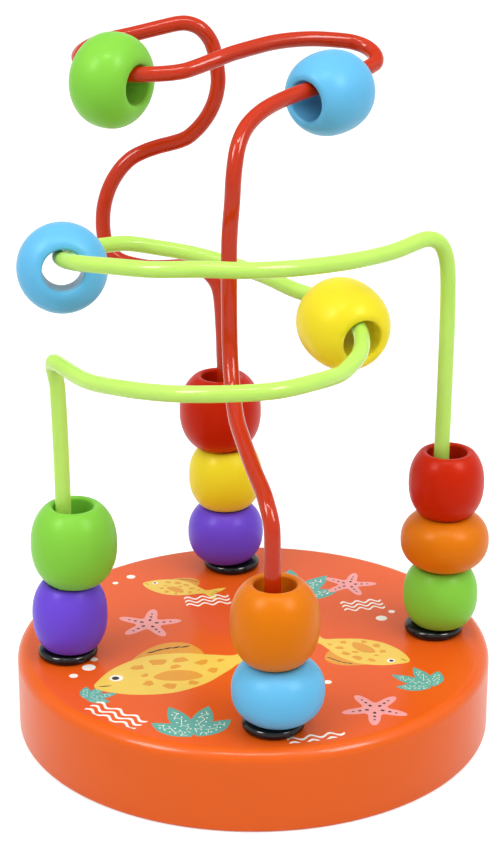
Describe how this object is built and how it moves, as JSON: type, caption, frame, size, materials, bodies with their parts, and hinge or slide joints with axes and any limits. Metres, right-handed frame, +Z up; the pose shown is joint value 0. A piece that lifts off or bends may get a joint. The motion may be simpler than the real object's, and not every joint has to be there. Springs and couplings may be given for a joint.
{
  "type": "wooden bead maze",
  "caption": "Bead maze toy: a round painted wooden base carries two bent coated wires in flanged bushes, with turned wooden beads that slide along them.",
  "frame": {"origin": "centre of the base's underside", "axes": "+Z up out of the base, +X towards the right post, -Y towards the front post"},
  "size_m": [0.12, 0.12, 0.1706],
  "materials": {
    "orange_paint": "wood under satin orange paint, with a printed picture on top",
    "black_plastic": "gloss black moulded plastic",
    "lime_coat": "gloss lime coat on steel wire",
    "red_coat": "gloss red coat on steel wire",
    "purple_paint_bead": "satin purple paint on a turned wooden bead",
    "green_paint_bead": "satin green paint on a turned wooden bead",
    "orange_paint_bead": "satin orange paint on a turned wooden bead",
    "red_paint_bead": "satin red paint on a turned wooden bead",
    "yellow_paint_bead": "satin yellow paint on a turned wooden bead",
    "blue_paint_bead": "satin light blue paint on a turned wooden bead"
  },
  "bodies": {
    "frame": {"base": "orange_paint", "left_bush": "black_plastic", "right_bush": "black_plastic", "front_bush": "black_plastic", "back_bush": "black_plastic", "green_wire": "lime_coat", "red_wire": "red_coat"},
    "left_purple_bead": {"left_purple_bead": "purple_paint_bead"},
    "left_green_bead": {"left_green_bead": "green_paint_bead"},
    "right_green_bead": {"right_green_bead": "green_paint_bead"},
    "right_orange_bead": {"right_orange_bead": "orange_paint_bead"},
    "right_red_bead": {"right_red_bead": "red_paint_bead"},
    "front_blue_bead": {"front_blue_bead": "blue_paint_bead"},
    "front_orange_bead": {"front_orange_bead": "orange_paint_bead"},
    "back_purple_bead": {"back_purple_bead": "purple_paint_bead"},
    "back_yellow_bead": {"back_yellow_bead": "yellow_paint_bead"},
    "back_red_bead": {"back_red_bead": "red_paint_bead"},
    "side_blue_bead": {"side_blue_bead": "blue_paint_bead"},
    "side_yellow_bead": {"side_yellow_bead": "yellow_paint_bead"},
    "top_green_bead": {"top_green_bead": "green_paint_bead"},
    "top_blue_bead": {"top_blue_bead": "blue_paint_bead"}
  },
  "joints": [
    {"name": "left_purple_bead_lift", "type": "slide", "parent": "frame", "child": "left_purple_bead", "axis": [-0.0104, 0.0121, 0.9999], "range_m": [0, 0.006]},
    {"name": "left_green_bead_lift", "type": "slide", "parent": "left_purple_bead", "child": "left_green_bead", "axis": [-0.0104, 0.0121, 0.9999], "range_m": [0, 0.024]},
    {"name": "right_green_bead_lift", "type": "slide", "parent": "frame", "child": "right_green_bead", "axis": [0.0098, 0.0011, 1], "range_m": [0, 0.006]},
    {"name": "right_orange_bead_lift", "type": "slide", "parent": "right_green_bead", "child": "right_orange_bead", "axis": [0.0098, 0.0011, 1], "range_m": [0, 0.01]},
    {"name": "right_red_bead_lift", "type": "slide", "parent": "right_orange_bead", "child": "right_red_bead", "axis": [0.0098, 0.0011, 1], "range_m": [0, 0.03]},
    {"name": "front_blue_bead_lift", "type": "slide", "parent": "frame", "child": "front_blue_bead", "axis": [-0.0082, -0.0009, 1], "range_m": [0, 0.003]},
    {"name": "front_orange_bead_lift", "type": "slide", "parent": "front_blue_bead", "child": "front_orange_bead", "axis": [-0.0082, -0.0009, 1], "range_m": [0, 0.009]},
    {"name": "back_purple_bead_lift", "type": "slide", "parent": "frame", "child": "back_purple_bead", "axis": [-0.0338, 0.0046, 0.9994], "range_m": [0, 0.005]},
    {"name": "back_yellow_bead_lift", "type": "slide", "parent": "back_purple_bead", "child": "back_yellow_bead", "axis": [-0.0338, 0.0046, 0.9994], "range_m": [0, 0.007]},
    {"name": "back_red_bead_lift", "type": "slide", "parent": "back_yellow_bead", "child": "back_red_bead", "axis": [-0.0338, 0.0046, 0.9994], "range_m": [0, 0.012]},
    {"name": "side_blue_bead_travel", "type": "hinge", "parent": "frame", "child": "side_blue_bead", "pos_m": [-0.0204, 0.00059, 0.12327], "axis": [-0.0187, 0.1692, 0.9854], "range_deg": [-50, 35]},
    {"name": "side_yellow_bead_travel", "type": "hinge", "parent": "frame", "child": "side_yellow_bead", "pos_m": [-0.00453, -0.01469, 0.10714], "axis": [0.0164, -0.1486, 0.9888], "range_deg": [-38, 18]},
    {"name": "top_green_bead_travel", "type": "hinge", "parent": "frame", "child": "top_green_bead", "pos_m": [-0.02332, 0.04849, 0.16545], "axis": [-0.0661, -0.1951, 0.9785], "range_deg": [-12, 28]},
    {"name": "top_blue_bead_travel", "type": "slide", "parent": "frame", "child": "top_blue_bead", "axis": [0.6811, 0.7278, 0.0802], "range_m": [-0.014, 0.007]}
  ]
}
